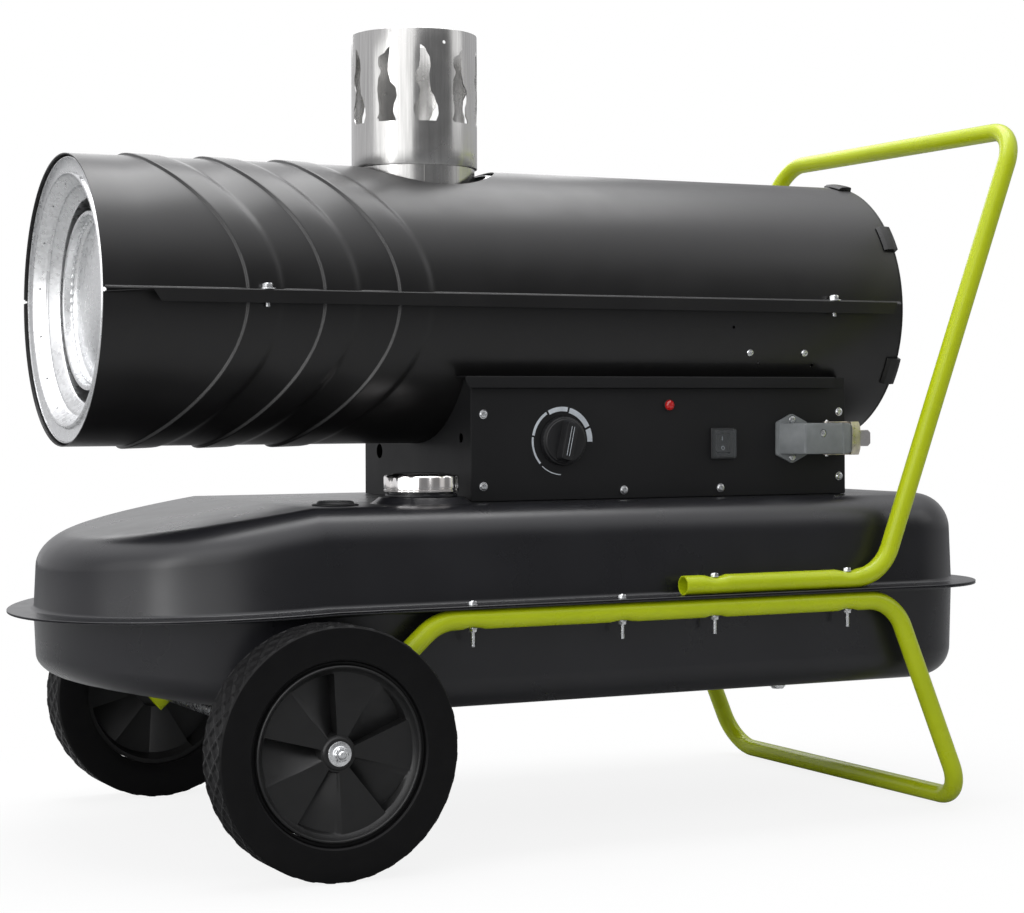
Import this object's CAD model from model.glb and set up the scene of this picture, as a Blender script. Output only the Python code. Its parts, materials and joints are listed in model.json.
import json
from math import asin, atan2, cos, pi, radians, sin, sqrt, tan

import bmesh
import bpy
from mathutils import Matrix, Vector

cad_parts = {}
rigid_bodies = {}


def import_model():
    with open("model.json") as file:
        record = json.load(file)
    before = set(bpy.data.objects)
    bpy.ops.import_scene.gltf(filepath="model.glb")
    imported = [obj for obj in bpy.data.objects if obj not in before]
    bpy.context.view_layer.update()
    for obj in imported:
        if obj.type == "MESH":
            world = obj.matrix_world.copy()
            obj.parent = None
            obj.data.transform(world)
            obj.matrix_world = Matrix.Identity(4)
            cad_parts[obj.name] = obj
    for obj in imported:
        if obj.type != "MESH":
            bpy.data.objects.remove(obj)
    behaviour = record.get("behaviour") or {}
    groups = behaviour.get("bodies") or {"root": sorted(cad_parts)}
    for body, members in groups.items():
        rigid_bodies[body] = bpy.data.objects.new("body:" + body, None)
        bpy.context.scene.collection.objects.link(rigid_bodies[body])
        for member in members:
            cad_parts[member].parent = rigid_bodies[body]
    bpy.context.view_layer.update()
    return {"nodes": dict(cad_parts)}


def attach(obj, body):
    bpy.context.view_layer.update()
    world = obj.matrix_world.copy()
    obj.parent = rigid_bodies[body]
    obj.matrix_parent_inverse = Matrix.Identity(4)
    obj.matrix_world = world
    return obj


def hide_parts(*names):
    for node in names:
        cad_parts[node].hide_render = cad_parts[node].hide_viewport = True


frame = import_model()

# Every size below is in millimetres with x from the chimney's axis; Shape.finished() brings it into the frame.
FRAME_X = 106.014
MM = 0.001
STACK = (0, 0, 0)
BARREL_Z = 585.0
BARREL = (0, 0, BARREL_Z)
BARREL_R = 157.0
BARREL_FRONT = -413.5
BARREL_REAR = 566.0
SHEET = 1.2
SEAM_Z = 591.0
WHEEL = (-220, 0, 127)
TUBE_R = 10.65
SIDE_Y = 250.0
LOW_RAIL = 247.6
HIGH_RAIL = 273.4
SIDES = ((-1, "near"), (1, "far"))


# ---- materials

def put_node(tree, kind, sources=None, **values):
    """Makes a node and links sources to its sockets; an underscore in the name of a value stands for a space."""
    made = tree.nodes.new("ShaderNode" + kind)
    for key, value in values.items():
        socket = key.replace("_", " ")
        if socket in made.inputs:
            made.inputs[socket].default_value = value
        else:
            setattr(made, key, value)
    for socket, source in (sources or {}).items():
        tree.links.new(source, made.inputs[socket])
    return made


class Surface:
    """A Principled material whose colour, roughness and bump come from noise in object space."""

    def __init__(self, name, colour, rough, metal=0.0, specular=0.5):
        self.material = bpy.data.materials.new(name)
        self.material.use_nodes = True
        self.tree = self.material.node_tree
        self.shader = self.tree.nodes["Principled BSDF"]
        self.colour = colour
        self.set({"Metallic": metal, "Roughness": rough, "Specular IOR Level": specular, "Base Color": (*colour, 1)})
        self.place = put_node(self.tree, "TexCoord").outputs["Object"]
        self.normal = None

    def set(self, values):
        for key, value in values.items():
            self.shader.inputs[key].default_value = value

    def noise(self, scale, detail=3.0, stretch=None):
        place = self.place
        if stretch:
            place = put_node(self.tree, "Mapping", {"Vector": place}, Scale=stretch).outputs[0]
        return put_node(self.tree, "TexNoise", {"Vector": place}, Scale=scale, Detail=detail).outputs["Fac"]

    def cells(self, scale):
        cells = put_node(self.tree, "TexVoronoi", {"Vector": self.place}, Scale=scale)
        return put_node(self.tree, "SeparateColor", {"Color": cells.outputs["Color"]}).outputs[0]

    def ranged(self, source, low, high, start, end):
        return put_node(self.tree, "MapRange", {"Value": source}, From_Min=start, From_Max=end, To_Min=low,
                        To_Max=high).outputs[0]

    def tint(self, source, low, high, start=0.3, end=0.7):
        """Colour between two tints of the base as the source grows."""
        blend = put_node(self.tree, "Mix", data_type="RGBA")
        self.tree.links.new(self.ranged(source, 0.0, 1.0, start, end), blend.inputs["Factor"])
        for socket, tint in ((6, low), (7, high)):
            shade = tint if isinstance(tint, tuple) else (tint, tint, tint)
            blend.inputs[socket].default_value = (*[c * s for c, s in zip(self.colour, shade)], 1)
        self.tree.links.new(blend.outputs[2], self.shader.inputs["Base Color"])

    def gloss(self, source, low, high, start=0.3, end=0.7):
        self.tree.links.new(self.ranged(source, low, high, start, end), self.shader.inputs["Roughness"])

    def relief(self, source, depth):
        sources = {"Height": source}
        if self.normal:
            sources["Normal"] = self.normal
        self.normal = put_node(self.tree, "Bump", sources, Strength=1.0, Distance=depth).outputs[0]
        self.tree.links.new(self.normal, self.shader.inputs["Normal"])


def surface(name, colour, rough, tint, gloss, reliefs, metal=0.0, specular=0.5, **sockets):
    """tint and gloss give a noise's scale and detail and their low and high; reliefs give scale, detail and depth."""
    made = Surface(name, colour, rough, metal, specular)
    made.tint(made.noise(*tint[:2]), *tint[2:])
    if gloss:
        made.gloss(made.noise(*gloss[:2]), *gloss[2:])
    for scale, detail, depth in reliefs:
        made.relief(made.noise(scale, detail), depth)
    made.set({key.replace("_", " "): value for key, value in sockets.items()})
    return made.material


def powder(name, colour, rough, specular, grain=650, depth=0.00003):
    """Powder paint: fine grain over a soft wave."""
    return surface(name, colour, rough, (9, 5, 0.86, 1.16), (14, 6, rough - 0.04, rough + 0.05),
                   ((grain, 3, depth), (40, 2, depth)), specular=specular)


def turned_metal(name, colour=(0.78, 0.79, 0.80), rough=0.26):
    return surface(name, colour, rough, (160, 4, 0.86, 1.1), (220, 4, rough - 0.08, rough + 0.1),
                   ((900, 2, 0.00001),), metal=1.0)


def moulded(name, colour, rough, specular=0.4, grain=1200, depth=0.00002):
    return surface(name, colour, rough, (60, 4, 0.88, 1.14), (90, 4, rough - 0.05, rough + 0.06),
                   ((grain, 3, depth),), specular=specular)


def lens(name, colour, **sockets):
    return surface(name, colour, 0.12, (300, 3, 0.7, 1.3), None, ((500, 2, 0.00003),), specular=0.6,
                   Coat_Weight=0.6, Coat_Roughness=0.05, **sockets)


def sheet_zinc(name):
    """Galvanised sheet with its crystal spangle."""
    made = Surface(name, (0.74, 0.745, 0.75), 0.32, 1.0)
    spangle = made.cells(260)
    made.tint(spangle, 0.90, 1.05, 0.0, 1.0)
    made.gloss(spangle, 0.25, 0.40, 0.0, 1.0)
    made.relief(made.noise(320, 4), 0.00002)
    return made.material


def stainless(name):
    """Rolled stainless sheet: fine upright grain, soft ripples and faint smears."""
    made = Surface(name, (0.52, 0.515, 0.505), 0.20, 1.0)
    grain = made.noise(420, 4, (1, 1, 0.03))
    made.tint(grain, 0.88, 1.08)
    made.gloss(made.noise(26, 6), 0.16, 0.30)
    made.relief(grain, 0.000012)
    made.relief(made.noise(16, 2, (1, 1, 0.25)), 0.0012)
    return made.material


def clear_film(name):
    made = Surface(name, (0.17, 0.18, 0.185), 0.14)
    made.set({"Alpha": 0.22})
    made.gloss(made.noise(120, 4), 0.08, 0.22)
    made.relief(made.noise(90, 2), 0.0003)
    return made.material


BARREL_PAINT = powder("barrel_paint", (0.0068, 0.0065, 0.0066), 0.34, 0.50, 800, 0.000018)
TANK_PAINT = powder("tank_paint", (0.0118, 0.0118, 0.0142), 0.29, 0.46, 520, 0.00004)
BOX_PAINT = powder("box_paint", (0.0105, 0.0105, 0.0112), 0.48, 0.27, 900, 0.00002)
INNER_PAINT = powder("motor_paint", (0.02, 0.02, 0.021), 0.5, 0.4)
GREEN = surface("frame_enamel", (0.520, 0.620, 0.006), 0.30, (12, 4, (0.95, 0.96, 0.8), (1.04, 1.03, 1.3)),
                (30, 5, 0.24, 0.34), ((260, 2, 0.00003),), specular=0.32, Coat_Weight=0.12, Coat_Roughness=0.12)
ZINC_SHEET = sheet_zinc("zinc_sheet")
STAINLESS = stainless("flue_steel_sheet")
BOLT_ZINC = turned_metal("bolt_zinc")
WARM_STEEL = turned_metal("lever_nickel", (0.74, 0.68, 0.60), 0.32)
CHROME = surface("cap_chrome_metal", (0.90, 0.875, 0.86), 0.1, (45, 3, (0.92, 0.9, 0.88), (1.04, 1.05, 1.06)),
                 (150, 5, 0.06, 0.16), ((60, 2, 0.00004),), metal=1.0)
RIM_PLASTIC = moulded("rim_plastic", (0.0095, 0.0095, 0.0096), 0.40, 0.4)
KNOB_PLASTIC = moulded("knob_plastic", (0.011, 0.011, 0.012), 0.40, 0.45)
DARK_PLASTIC = moulded("dark_plastic", (0.014, 0.014, 0.015), 0.48, 0.4)
GREY_PLASTIC = moulded("grey_housing", (0.215, 0.228, 0.232), 0.46, 0.45, 700, 0.00003)
RUBBER = moulded("tyre_rubber_skin", (0.0042, 0.0041, 0.0044), 0.44, 0.15, 500, 0.00005)
SEAL = moulded("seal_rubber_skin", (0.012, 0.012, 0.012), 0.7, 0.3)
WHITE_INK = moulded("white_ink", (0.62, 0.66, 0.70), 0.55, 0.3)
RED_LENS = lens("red_lens", (0.30, 0.004, 0.004), Emission_Color=(0.6, 0.01, 0.01, 1), Emission_Strength=0.25)
AMBER = lens("amber_plastic_body", (0.42, 0.26, 0.07))
CLEAR = clear_film("clear_cover")
ALLOY = turned_metal("pump_alloy_cast", (0.52, 0.53, 0.54), 0.45)
BRASS = turned_metal("nozzle_brass_metal", (0.62, 0.43, 0.15), 0.3)
BOARD = moulded("board_laminate", (0.015, 0.14, 0.05), 0.4)
CERAMIC = moulded("white_ceramic", (0.72, 0.70, 0.64), 0.35)


# ---- outlines and paths

def clamped(value):
    return max(0.0, min(1.0, value))


def eased(share):
    return share * share * (3 - 2 * share)


def on_axis(axis, centre, along, radius, turn):
    """A point at a height along an axis and at a radius and a turn round it."""
    one, two = radius * cos(turn), radius * sin(turn)
    spot = {"X": (along, one, two), "Y": (one, along, two), "Z": (one, two, along)}[axis]
    return Vector([a + b for a, b in zip(spot, centre)])


def arc(centre, radius, start, sweep, steps):
    turns = [radians(start + sweep * k / steps) for k in range(steps + 1)]
    return [(centre[0] + radius * cos(turn), centre[1] + radius * sin(turn)) for turn in turns]


def rounded(points, radius, steps=3):
    """Rounds the corners of a closed outline; corners on the axis of a turned profile stay sharp."""
    out = []
    for index, point in enumerate(points):
        here = Vector(point)
        back = Vector(points[index - 1]) - here
        ahead = Vector(points[(index + 1) % len(points)]) - here
        size = radius[index] if isinstance(radius, tuple) else radius
        flat = back.length < 1e-5 or ahead.length < 1e-5 or back.angle(ahead) > radians(172)
        if size <= 0 or here.y == 0 or flat:
            out.append(tuple(here))
            continue
        reach = min(size / tan(back.angle(ahead) / 2), back.length * 0.46, ahead.length * 0.46)
        first, last = here + back.normalized() * reach, here + ahead.normalized() * reach
        for t in (step / steps for step in range(steps + 1)):
            out.append(tuple(first * (1 - t) ** 2 + here * 2 * t * (1 - t) + last * t * t))
    return out


def rectangle(centre, half_x, half_z, radius, steps=5):
    x, z = centre
    return rounded(((x - half_x, z - half_z), (x + half_x, z - half_z), (x + half_x, z + half_z),
                    (x - half_x, z + half_z)), radius, steps)


def rectangles(centre, levels):
    """Sections of a rounded rectangle from rows of y, half width, half height and corner radius."""
    return [[(x, y, z) for x, z in rectangle(centre, *size)] for y, *size in levels]


def rounded_path(corners, radii, steps=18):
    """A path through the corners with a bend of each radius."""
    points = [Vector(corners[0])]
    for index, radius in enumerate(radii, 1):
        corner = Vector(corners[index])
        back = (Vector(corners[index - 1]) - corner).normalized()
        ahead = (Vector(corners[index + 1]) - corner).normalized()
        half = back.angle(ahead) / 2
        middle = corner + (back + ahead).normalized() * (radius / sin(half))
        first = corner + back * (radius / tan(half))
        last = corner + ahead * (radius / tan(half))
        turn = (first - middle).angle(last - middle)
        axis = (first - middle).cross(last - middle).normalized()
        points += [middle + Matrix.Rotation(turn * step / steps, 3, axis) @ (first - middle)
                   for step in range(steps + 1)]
    points.append(Vector(corners[-1]))
    return points


# ---- mesh tools

class Shape:
    """A mesh in the making, in millimetres. Its drawing methods return it, so that they can follow each other."""

    def __init__(self):
        self.bm = bmesh.new()

    def skin(self, rings, loop=False, ends=True):
        """Joins rings of vertices; where two rings share a vertex the face is a triangle."""
        for here, there in zip(rings, rings[1:] + rings[:1] if loop else rings[1:]):
            for index in range(len(here)):
                after = (index + 1) % len(here)
                corners = list(dict.fromkeys((here[index], there[index], there[after], here[after])))
                if len(corners) > 2:
                    self.bm.faces.new(corners)
        if ends and not loop:
            self.bm.faces.new(rings[0])
            self.bm.faces.new(rings[-1])
        return self

    def loft(self, sections, loop=False):
        """Joins point lists of one length into a skin."""
        return self.skin([[self.bm.verts.new(point) for point in section] for section in sections], loop)

    def turned(self, profile, axis, centre, steps=96, start=0.0, sweep=360.0, turns=None):
        """Turns a closed profile of (along, radius); the profile may be a function of the turn in degrees."""
        whole = sweep == 360.0
        rings, poles = [], {}
        for turn in turns or [start + sweep * k / steps for k in range(steps if whole else steps + 1)]:
            ring = []
            for index, (along, radius) in enumerate(profile(turn) if callable(profile) else profile):
                if radius == 0 and index in poles:
                    ring.append(poles[index])
                    continue
                ring.append(self.bm.verts.new(on_axis(axis, centre, along, radius, radians(turn))))
                if radius == 0:
                    poles[index] = ring[-1]
            rings.append(ring)
        return self.skin(rings, whole)

    def rod(self, axis, centre, low, high, radius, steps):
        return self.turned(((low, 0), (low, radius), (high, radius), (high, 0)), axis, centre, steps)

    def prism(self, outline, low, high, plane):
        place = {"xy": lambda a, b, c: (a, b, c), "xz": lambda a, b, c: (a, c, b),
                 "yz": lambda a, b, c: (c, a, b)}[plane]
        return self.loft([[place(a, b, height) for a, b in outline] for height in (low, high)])

    def block(self, low, high):
        return self.prism(((low[0], low[1]), (high[0], low[1]), (high[0], high[1]), (low[0], high[1])),
                          low[2], high[2], "xy")

    def tube(self, points, size_at, sides=32, wall=1.5):
        """A hollow tube along points; size_at(point) gives its two half widths and the lift of its middle."""
        outer, inner = [], []
        normal = Vector((0, 1, 0))
        for index, point in enumerate(points):
            tangent = (points[min(index + 1, len(points) - 1)] - points[max(index - 1, 0)]).normalized()
            normal = (normal - tangent * normal.dot(tangent)).normalized()
            across = tangent.cross(normal)
            wide, tall, lift = size_at(point)
            for rings, less in ((outer, 0.0), (inner, wall)):
                rings.append([point + Vector((0, 0, lift)) + normal * ((wide - less) * cos(angle))
                              + across * ((tall - less) * sin(angle))
                              for angle in (2 * pi * side / sides for side in range(sides))])
        return self.loft(outer + inner[::-1], loop=True)

    def hex_head(self, axis, centre, base, way, flat, height, flange=0.0):
        """A hexagon head with a chamfered, slightly dished top, and a washer flange if it has one."""
        def profile(turn):
            corner = flat / cos(radians(turn % 60 - 30))
            washer = ((0, flange), (0.7, flange), (1.3, flange * 0.9)) if flange else ()
            steps = ((0, 0), *washer, (1.5 if flange else 0, corner), (height - 0.9, corner), (height, flat * 0.96),
                     (height, flat * 0.62), (height - 0.35, flat * 0.5), (height - 0.35, 0))
            return [(base + way * up, radius) for up, radius in steps]
        return self.turned(profile, axis, centre, 48)

    def thread(self, axis, centre, low, high, radius, pitch):
        """A threaded rod: close rings of crests and roots."""
        count = int(abs(high - low) / pitch)
        way = (high - low) / count
        profile = [(low, 0), (low, radius * 0.8)]
        for k in range(count):
            profile += [(low + way * (k + 0.2), radius * 0.86), (low + way * (k + 0.5), radius),
                        (low + way * (k + 0.8), radius * 0.86)]
        return self.turned(profile + [(high, radius * 0.8), (high, 0)], axis, centre, 20)

    def screw_head(self, axis, centre, base, way, size, height, twist):
        """A pan head with a cross recess drawn in its turned profile."""
        def profile(turn):
            spread = abs((turn - twist + 45) % 90 - 45)
            arm = 0.62 * size if spread < 9 else min(0.62 * size, 0.13 * size / sin(radians(spread)))
            steps = ((0, 0), (0, size), (0.45, size), (0.85, size * 0.86), (1, max(size * 0.66, arm * 1.02)),
                     (1, arm), (0.45, arm * 0.8), (0.45, 0))
            return [(base + way * height * up, radius) for up, radius in steps]
        return self.turned(profile, axis, centre, 80)

    def finished(self, name):
        bmesh.ops.recalc_face_normals(self.bm, faces=self.bm.faces)
        for vertex in self.bm.verts:
            x, y, z = vertex.co
            vertex.co = Vector(((x - FRAME_X) * MM, y * MM, z * MM))
        mesh = bpy.data.meshes.new(name)
        self.bm.to_mesh(mesh)
        self.bm.free()
        return placed(name, mesh)

    def add(self, name, material, node=None, body="heater", slot=None, angle=30, bevel=0.0):
        """Makes the shape a piece of the scene."""
        made = self.finished(name)
        made.data.materials.append(material)
        made.data.shade_smooth()
        made.data.set_sharp_from_angle(angle=radians(angle))
        if bevel:
            soften(made, bevel)
        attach(made, body)
        if node:
            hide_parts(node)
        return made

    def carve(self, made):
        """Cuts the shape out of a piece at once and drops it."""
        guide = self.finished("cutter")
        guide.matrix_world = made.matrix_world.copy()
        guide.parent = made.parent
        guide.matrix_parent_inverse = made.matrix_parent_inverse.copy()
        change = made.modifiers.new("cut", "BOOLEAN")
        change.operation = "DIFFERENCE"
        change.solver = "EXACT"
        change.object = guide
        result = bpy.data.meshes.new_from_object(made.evaluated_get(bpy.context.evaluated_depsgraph_get()))
        made.modifiers.remove(change)
        made.data = result
        bpy.data.objects.remove(guide, do_unlink=True)
        result.set_sharp_from_angle(angle=radians(32))


def placed(name, data):
    made = bpy.data.objects.new(name, data)
    bpy.context.scene.collection.objects.link(made)
    return made


def soften(made, width):
    edge = made.modifiers.new("edges", "BEVEL")
    edge.width = width * MM
    edge.segments = 2
    edge.limit_method = "ANGLE"
    edge.angle_limit = radians(38)
    edge.harden_normals = True
    edge.use_clamp_overlap = True


# ---- barrel

BEAD_FRONTS = (-259.0, -173.0, -87.0)
BEAD_WAVE = 90.0
BEAD_PLAN = ((-2.2, 0), (-1.4, 0.2), (-0.7, 0.9), (0, 2.0), (0.7, 2.75), (1.6, 3.0), (3, 2.95), (12, 2.7),
             (24, 2.4), (32, 2.1), (35, 1.75), (38, 1.0), (40.5, 0.35), (43, 0.05), (45, 0))
SEAM_TAPER = 48.0
SEAM_REAR = 16.0
SEAM_BOLTS = (-240, 465)
SEAM_BOLT_Y = 164.5
CRADLE_SCREWS = (359, 434)
CRADLE_SCREW_R = 156.9


def barrel_columns():
    """X at the seam, how far the wave moves it, and the height above the barrel."""
    columns = [(BARREL_FRONT + step, 0.0, 0.0) for step in (0, 1.2, 8, 18, 28, 38, 48)]
    for front in BEAD_FRONTS:
        columns += [(front + along, BEAD_WAVE, height) for along, height in BEAD_PLAN]
    return columns + [(BARREL_REAR - 1.2, 0.0, 0.0), (BARREL_REAR, 0.0, 0.0)]


def seam_sag(x):
    return 3.0 * max(0.0, 1 - (x - BARREL_FRONT) / 46.0)


def half_shell(sign, steps=96):
    shape = Shape()
    start = sign * asin((SEAM_Z + sign * 0.75 - BARREL_Z) / BARREL_R)
    stations = []
    for step in range(steps + 1):
        angle = start + (pi - 2 * start) * step / steps
        near_seam = max(0.0, 1 - min(angle - start, pi - start - angle) / 0.3)
        rows = []
        for skin in (0, SHEET):
            row = []
            for x, wave, height in barrel_columns():
                radius = BARREL_R + height - skin
                drop = seam_sag(x) * near_seam ** 2 if sign < 0 else 0.0
                row.append(shape.bm.verts.new((x - wave * sin(angle) ** 2, -radius * cos(angle),
                                               BARREL_Z + sign * radius * sin(angle) - drop)))
            rows.append(row)
        stations.append(rows)

    def strip(one, two):
        for k in range(len(one) - 1):
            shape.bm.faces.new((one[k], one[k + 1], two[k + 1], two[k]))
    for here, there in zip(stations, stations[1:]):
        strip(here[0], there[0])
        strip(here[1], there[1])
        for k in (0, -1):
            shape.bm.faces.new((here[0][k], there[0][k], there[1][k], here[1][k]))
    strip(*stations[0])
    strip(*stations[-1])
    return shape


def seam_flange(side, sign, full_reach, full_lip):
    """A folded edge: flat flange with a bend at its root and, on the upper half, a turned-down lip."""
    lip_front = BARREL_FRONT + SEAM_TAPER
    lip_rear = BARREL_REAR - SEAM_REAR
    stations = [(BARREL_FRONT + 2, 0.12, 0), (BARREL_FRONT + 14, 0.28, 0), (BARREL_FRONT + 26, 0.5, 0),
                (BARREL_FRONT + 37, 0.75, 0), (lip_front, 1, 0), (lip_front + 0.4, 1, 0.03),
                (lip_front + 3, 1, 0.33), (lip_front + 6, 1, 0.68), (lip_front + 9, 1, 1), (200, 1, 1),
                (lip_rear - 4.5, 1, 1), (lip_rear - 2, 1, 0.5), (lip_rear, 1, 0.03), (lip_rear + 8, 0.55, 0),
                (BARREL_REAR - 1, 0.12, 0)]
    sections = []
    for x, share, drop in stations:
        reach = full_reach * share
        base = SEAM_Z + sign * 0.15 - (seam_sag(x) if sign < 0 else 0.0)
        face = base + sign * SHEET
        bend = min(1.8, reach * 0.5)
        points = [(-1.0, base), (-1.0, face + sign * 2.2), (bend * 0.03, face + sign * 1.1),
                  (bend * 0.33, face + sign * 0.45), (bend, face)]
        if full_lip:
            lip = face - 1.9 - (full_lip - 1.9) * drop
            inner = reach - min(1.2, reach * 0.3)
            points += [(reach * 0.9 if reach < 8 else reach - 1.6, face), (max(reach - 0.6, reach * 0.95), face - 0.3),
                       (reach, face - 1.2), (reach, lip), (inner, lip), (inner, face - 1.85),
                       (reach - min(2.0, reach * 0.4), base)]
        else:
            points += [(reach - 0.3, face), (reach, face - sign * 0.3), (reach, base + sign * 0.3),
                       (reach - 0.3, base)]
        sections.append([(x, side * (BARREL_R + out), z) for out, z in points])
    return Shape().loft(sections)


def make_barrel():
    for sign, name, reach, lip in ((1, "upper", 15.0, 14.5), (-1, "lower", 13.5, 0.0)):
        shell = half_shell(sign).add(f"barrel_{name}_skin", BARREL_PAINT, f"{name}_shell", angle=40)
        holes = Shape()
        if sign > 0:
            holes.prism([(3 + 90 * cos(radians(a)), 83 * sin(radians(a))) for a in range(0, 360, 4)], 690, 760, "xy")
        else:
            for x, z, radius in ((374, 518, 2.0), (449, 517, 2.0), (333, 560, 1.8), (141, 441.5, 2.0)):
                for side in (-1, 1):
                    holes.rod("Y", (x, 0, z), side * 90, side * 170, radius, 20)
        holes.carve(shell)
        for side, place in SIDES:
            flange = seam_flange(side, sign, reach, lip)
            if sign < 0:
                # a strip behind the front taper closes the gap under the sagging edge
                first, last = sorted((side * 155.3, side * 155.75))
                flange.block((-410, first, 586), (-300, last, 597))
            flange.add(f"seam_flange_{name}_{place}", BARREL_PAINT, f"{name}_shell", bevel=0.25)
    top = SEAM_Z + 0.15 + SHEET
    low = SEAM_Z - 0.15 - SHEET
    for side, place in SIDES:
        bolts = Shape()
        for x in SEAM_BOLTS:
            centre = (x, side * SEAM_BOLT_Y, 0)
            bolts.turned(rounded(((top, 0), (top, 8.6), (top + 1.2, 8.6), (top + 1.2, 0)), 0.4, 2), "Z", centre, 40)
            bolts.hex_head("Z", centre, top + 1.2, 1, 5.0, 5.2).thread("Z", centre, low - 16, top, 2.9, 1.0)
            bolts.hex_head("Z", centre, low, -1, 5.0, 5.0, 6.2)
        bolts.add(f"seam_bolts_{place}", BOLT_ZINC)
        screws = Shape()
        turn = atan2(-54, side * 147.4)
        out = Vector((0, cos(turn), sin(turn)))
        for x in CRADLE_SCREWS:
            before = len(screws.bm.verts)
            screws.screw_head("Z", (0, 0, 0), 0.0, 1, 4.4, 2.6, 15)
            place_screw = Matrix.Translation((x, out.y * CRADLE_SCREW_R, BARREL_Z + out.z * CRADLE_SCREW_R))
            bmesh.ops.transform(screws.bm, verts=list(screws.bm.verts)[before:],
                                matrix=place_screw @ out.to_track_quat("Z", "Y").to_matrix().to_4x4())
        screws.add(f"cradle_screws_{place}", BOLT_ZINC)


# ---- outlet, drum and flue

def make_outlet():
    inner, outer = 152.1, 153.0
    liner = rounded(((-410, inner), (-410, outer + 0.3), (-407, outer + 2.2), (-402, outer + 2.2), (-397, outer),
                     (232, outer), (232, inner)), (0.4, 0.4, 1, 1, 1, 0, 0))
    shield = Shape().turned(liner, "X", BARREL, 144).add("outlet_liner", ZINC_SHEET, "heat_shield", angle=35)
    Shape().rod("Z", STACK, 690, 760, 82, 96).carve(shield)
    face = ((-408.8, 150.6), (-405.8, 138.4), (-409.0, 137.2), (-410.0, 135.6), (-409.2, 133.8), (-397.4, 124.4),
            (-394.9, 123.6), (-394.3, 121.0), (-386.2, 111.2), (-384.6, 110.2), (-368, 110))
    back = ((-368, 111.2), (-384.0, 111.4), (-385.2, 112.2), (-393.1, 121.6), (-393.9, 124.6), (-396.6, 125.4),
            (-408.0, 134.6), (-408.5, 135.6), (-408.0, 136.4), (-404.6, 137.6), (-407.6, 151.0), (-393, 151.2),
            (-393, 151.9), (-409.4, 151.9))
    ring = Shape().turned(rounded(face + back, 0.7, 2), "X", BARREL, 144)
    ring = ring.add("outlet_ring_sheet", ZINC_SHEET, "outlet_ring", angle=35)
    dots = Shape()
    for y, z in arc((0, BARREL_Z), 128.8, 8, 336, 14):
        dots.rod("X", (0, y, z), -420, -396, 1.1, 10)
    dots.carve(ring)

    floor = -372.0
    profile = ((floor - 9, 0), (floor - 8.6, 20), (floor - 7.2, 44), (floor - 4.6, 66), (floor - 1.2, 84),
               (floor, 87), (floor - 1.2, 88.6), (floor - 6, 90.6), (-385.2, 91.4), (-386, 92.4), (-386, 95.6),
               (-385, 96.5), (226, 96.5), (226, 46.6), (224.5, 46.6), (224.5, 95), (floor + 2, 95),
               (floor + 1.5, 60), (floor - 6, 24), (floor - 7.5, 0))
    drum = Shape().turned(profile, "X", BARREL, 128).add("drum_skin", ZINC_SHEET, "combustion_drum", angle=38)
    Shape().rod("Z", STACK, 640, 720, 60, 64).carve(drum)

    def weld(turn):
        wave = 0.5 * sin(radians(turn * 62)) + 0.2 * sin(radians(turn * 23))
        return [(-377.2 + (1.5 + wave) * cos(t), 89.8 + (1.3 + wave * 0.7) * sin(t))
                for t in (0, 0.8, 1.6, 2.4, 3.2, 4.0, 4.8, 5.6)]
    Shape().turned(weld, "X", BARREL, 496).add("drum_weld", BOLT_ZINC, "combustion_drum", slot="galvanised", angle=60)


# Rows of a torn slot: share of its height, then its right and left edge beside its middle.
WIDE_FOOT = ((0.00, 12, -8), (0.10, 14.7, -13.4), (0.18, 14.2, -14.1), (0.30, 10.5, -8), (0.41, 5.6, -6.7),
             (0.55, 4, -11.4), (0.61, 4, -11.9), (0.73, 5.5, -7.6), (0.82, 4.7, -6.7), (0.95, 0, -6.7),
             (1.00, -4.9, -6.7))
HOOKED = ((0.00, 12.9, -9.1), (0.03, 12.8, -12.7), (0.11, 8.5, -9.8), (0.19, 8.5, -9.8), (0.33, 12.1, -11.5),
          (0.42, 11.1, -12.3), (0.54, 4.1, -11.3), (0.66, 1.5, -7.6), (0.75, 1.6, -11.1), (0.85, 2.9, -10.5),
          (0.91, 3.7, -1.8), (1.00, 4.1, 3.9))
SLOT_LOW, SLOT_HIGH = 790.0, 875.0
LAP_TURN = -104.7


def slot_edges(shape, share):
    """Right and left edge of a torn slot at a share of its height, eased between the table's rows."""
    for low, high in zip(shape, shape[1:]):
        if share <= high[0]:
            t = eased((share - low[0]) / (high[0] - low[0]))
            return tuple(low[k] + (high[k] - low[k]) * t for k in (1, 2))


def through_sleeve(turn, outline):
    """An outline of (across, z) as a section inside and one outside the sleeve's wall."""
    outward = Vector((sin(turn), -cos(turn), 0))
    sideways = Vector((cos(turn), sin(turn), 0))
    return [[outward * reach + sideways * across + Vector((0, 0, z)) for across, z in outline]
            for reach in (58, 76)]


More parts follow.
